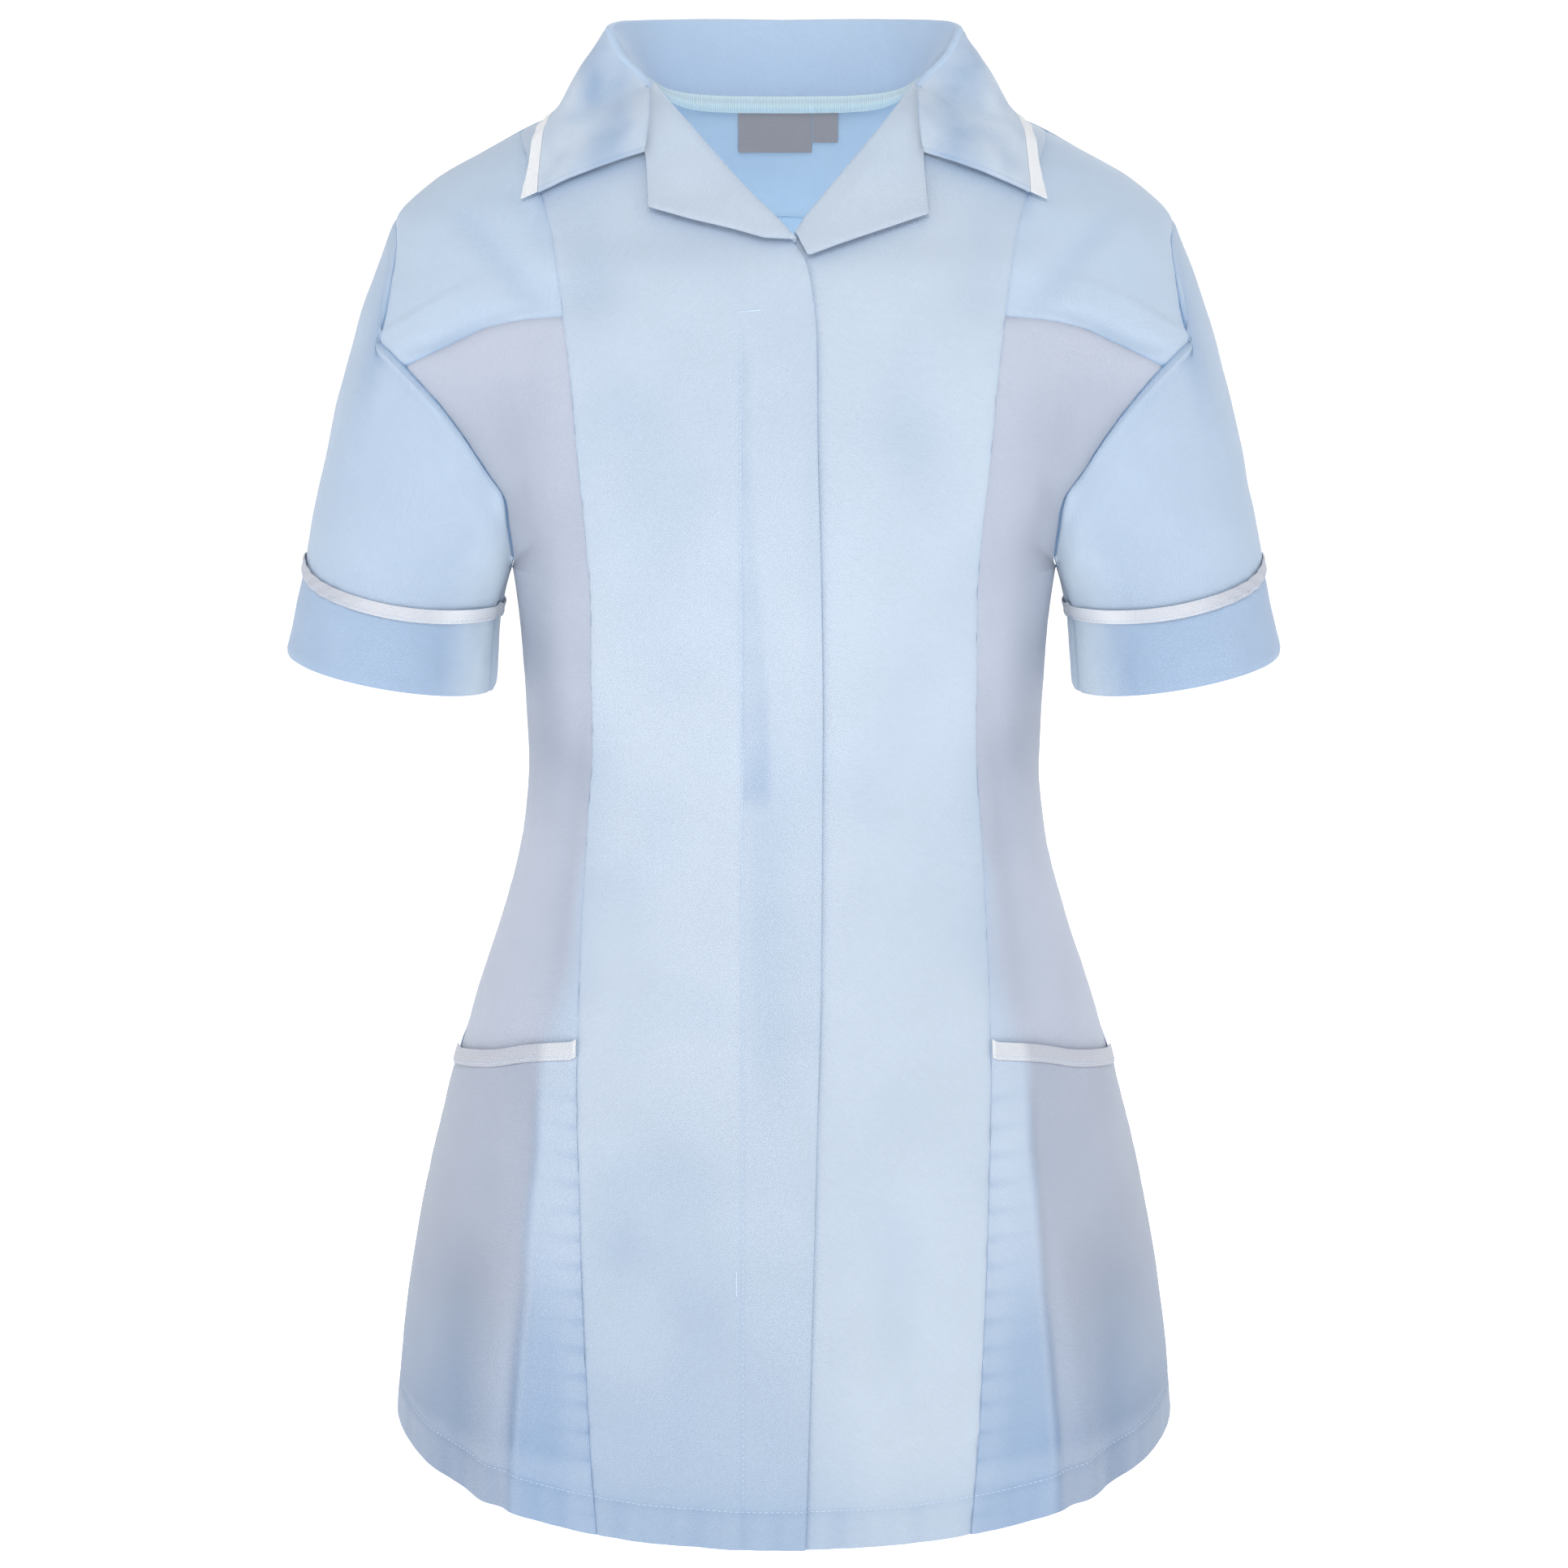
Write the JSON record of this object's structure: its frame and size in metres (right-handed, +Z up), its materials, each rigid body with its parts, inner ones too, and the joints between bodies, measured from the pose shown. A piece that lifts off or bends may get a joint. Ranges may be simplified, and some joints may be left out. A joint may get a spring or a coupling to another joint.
{
  "type": "work tunic",
  "caption": "Short-sleeved work tunic in pale blue cloth with a notched collar, turned cuffs, hip pockets and white braid, filled out as when worn.",
  "frame": {"origin": "midway between the two high shoulder points, where the collar meets the shoulder seams; it rests on a wearer's shoulders there", "axes": "+X to the wearer's left, -Y out of the front, +Z up"},
  "size_m": [0.5034, 0.3015, 0.7341],
  "materials": {
    "centre_cloth": "fine diagonal twill, very pale blue, soft sheen",
    "side_cloth": "fine diagonal twill, pale blue, soft sheen",
    "sleeve_cloth": "fine diagonal twill, pale blue, soft sheen",
    "collar_cloth": "fine diagonal twill, pale blue, soft sheen",
    "white_braid": "narrow flat woven braid, white, matt",
    "label_weave": "smooth woven tape, mid grey, matt"
  },
  "bodies": {
    "root": {"back_centre": "side_cloth", "back_side_left": "side_cloth", "back_side_right": "side_cloth", "back_yoke": "side_cloth", "collar": "collar_cloth", "collar_braid": "white_braid", "cuff_left": "sleeve_cloth", "cuff_right": "sleeve_cloth", "front_centre_left": "centre_cloth", "front_centre_right": "centre_cloth", "front_shoulder_left": "side_cloth", "front_shoulder_right": "side_cloth", "front_side_left": "side_cloth", "front_side_right": "side_cloth", "lapel_left": "centre_cloth", "lapel_right": "centre_cloth", "neck_label": "label_weave", "pocket_braid_left": "white_braid", "pocket_braid_right": "white_braid", "pocket_left": "side_cloth", "pocket_right": "side_cloth", "size_tab": "label_weave", "sleeve_braid_left": "white_braid", "sleeve_braid_right": "white_braid", "sleeve_left": "sleeve_cloth", "sleeve_right": "sleeve_cloth"}
  },
  "joints": []
}
